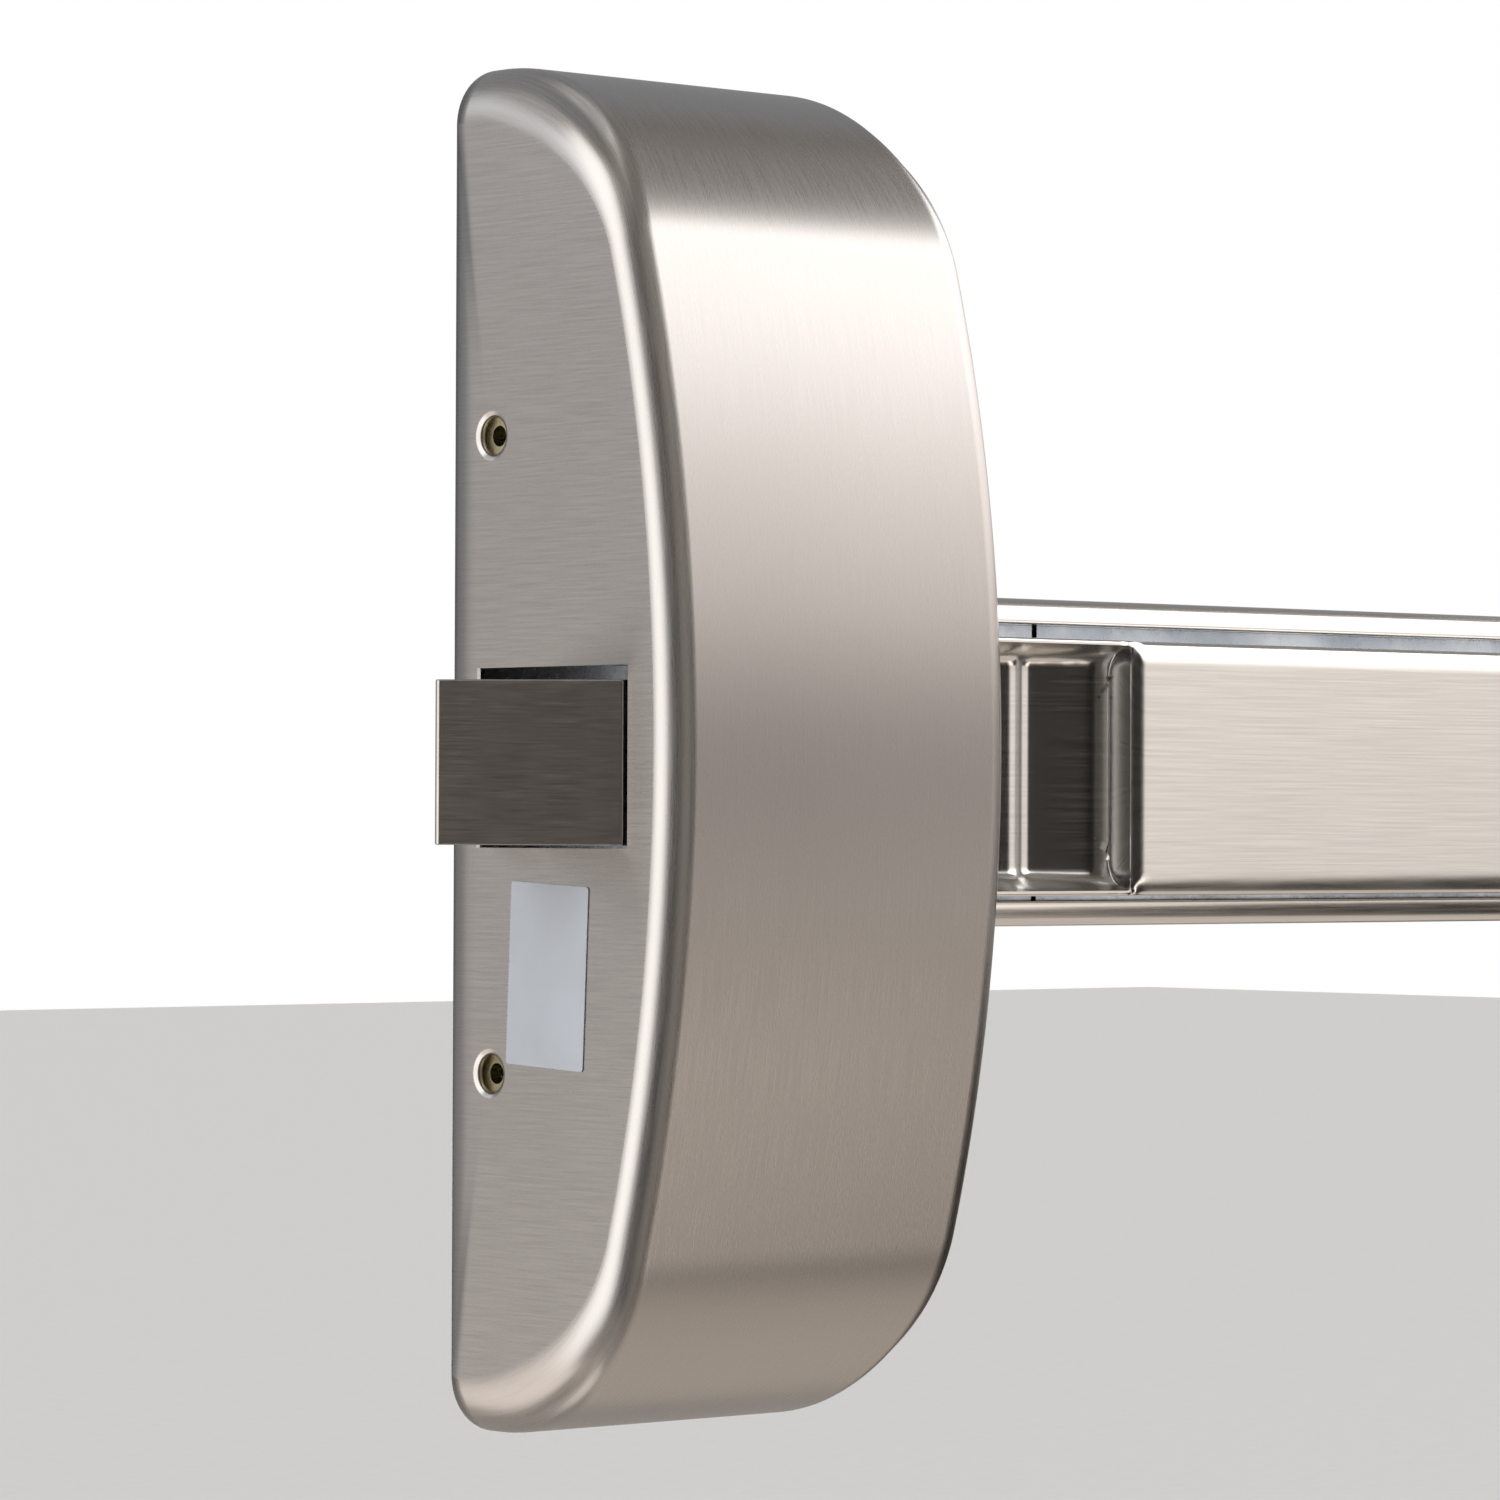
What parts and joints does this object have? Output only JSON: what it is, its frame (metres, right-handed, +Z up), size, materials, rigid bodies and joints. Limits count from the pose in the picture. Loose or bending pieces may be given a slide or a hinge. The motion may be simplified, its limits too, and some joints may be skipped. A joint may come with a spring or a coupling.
{
  "type": "panic exit bar",
  "caption": "Rim panic exit bar: stainless latch head with a sprung bolt, a rail with a push pad and linkage, and an end cap.",
  "frame": {"origin": "middle of the head's four mounting holes, on the face that lies on the door", "axes": "+X along the rail away from the latch, +Y into the door, +Z up; the push pad faces -Y"},
  "size_m": [0.857, 0.0526, 0.216],
  "materials": {
    "brushed_stainless": "brushed stainless sheet",
    "polished_stainless": "fine-grained, nearly polished stainless sheet",
    "bolt_stainless": "satin, ground along its length",
    "zinc_plated_steel": "bright zinc plate with a bluish cast",
    "brass_plate": "yellow passivated plate",
    "fastener_steel": "plated fasteners",
    "spring_wire": "oiled spring wire",
    "moulded_nylon": "moulded black nylon",
    "bumper_rubber": "moulded rubber",
    "label_stock": "pale satin film, left blank"
  },
  "bodies": {
    "frame": {"head_cover": "brushed_stainless", "rating_label": "label_stock", "head_baseplate": "zinc_plated_steel", "cover_screw_tabs": "brass_plate", "latch_case": "zinc_plated_steel", "latch_case_screws": "fastener_steel", "return_spring": "spring_wire", "rod_guide_near": "moulded_nylon", "rod_guide_mid": "moulded_nylon", "rod_guide_far": "moulded_nylon", "crank_bracket_near": "zinc_plated_steel", "crank_bracket_far": "zinc_plated_steel", "bracket_screws": "fastener_steel", "crank_pin_near": "fastener_steel", "crank_pin_far": "fastener_steel", "rail_channel": "polished_stainless", "rail_head_screws": "fastener_steel", "rail_end_screws": "fastener_steel", "stop_bumpers": "bumper_rubber", "rail_filler": "polished_stainless", "end_bracket": "zinc_plated_steel", "end_cap": "brushed_stainless", "end_cap_screw": "brushed_stainless", "trigger_spring": "spring_wire"},
    "pad": {"push_pad": "polished_stainless", "pad_carrier": "zinc_plated_steel", "pan_support": "zinc_plated_steel", "pad_pins": "fastener_steel", "pad_end_plug": "moulded_nylon"},
    "crank_near": {"bell_crank_near": "zinc_plated_steel"},
    "crank_far": {"bell_crank_far": "zinc_plated_steel"},
    "actuator": {"actuating_rod": "zinc_plated_steel", "rod_pins": "fastener_steel", "retractor": "zinc_plated_steel", "retractor_rivets": "fastener_steel", "bolt_spring": "spring_wire"},
    "latch": {"latch_bolt": "bolt_stainless", "bolt_stem": "fastener_steel", "bolt_stem_nut": "fastener_steel"},
    "trigger": {"deadlatch_trigger": "bolt_stainless"}
  },
  "joints": [
    {"name": "pad_push", "type": "slide", "parent": "frame", "child": "pad", "axis": [0, 1, 0], "range_m": [0, 0.0125], "stiffness_N_per_m": 900, "springref_m": -0.03},
    {"name": "crank_near_turn", "type": "hinge", "parent": "frame", "child": "crank_near", "pos_m": [0.12, -0.0303, 0], "axis": [0, 0, -1], "range_deg": [0, 49.2]},
    {"name": "crank_far_turn", "type": "hinge", "parent": "frame", "child": "crank_far", "pos_m": [0.5, -0.0303, 0], "axis": [0, 0, -1], "range_deg": [0, 49.2]},
    {"name": "rod_slide", "type": "slide", "parent": "frame", "child": "actuator", "axis": [1, 0, 0], "range_m": [0, 0.019], "deforming": ["return_spring"]},
    {"name": "latch_slide", "type": "slide", "parent": "actuator", "child": "latch", "axis": [1, 0, 0], "range_m": [0, 0.019], "stiffness_N_per_m": 300, "springref_m": -0.02, "deforming": ["bolt_spring"]},
    {"name": "trigger_slide", "type": "slide", "parent": "frame", "child": "trigger", "axis": [1, 0, 0], "range_m": [0, 0.009], "stiffness_N_per_m": 200, "springref_m": -0.01, "deforming": ["trigger_spring"]}
  ],
  "couplings": [
    {"joint": "crank_near_turn", "follows": "pad_push", "rad_per_m": 68.55},
    {"joint": "crank_far_turn", "follows": "pad_push", "rad_per_m": 68.55},
    {"joint": "rod_slide", "follows": "pad_push", "ratio": 1.52}
  ]
}
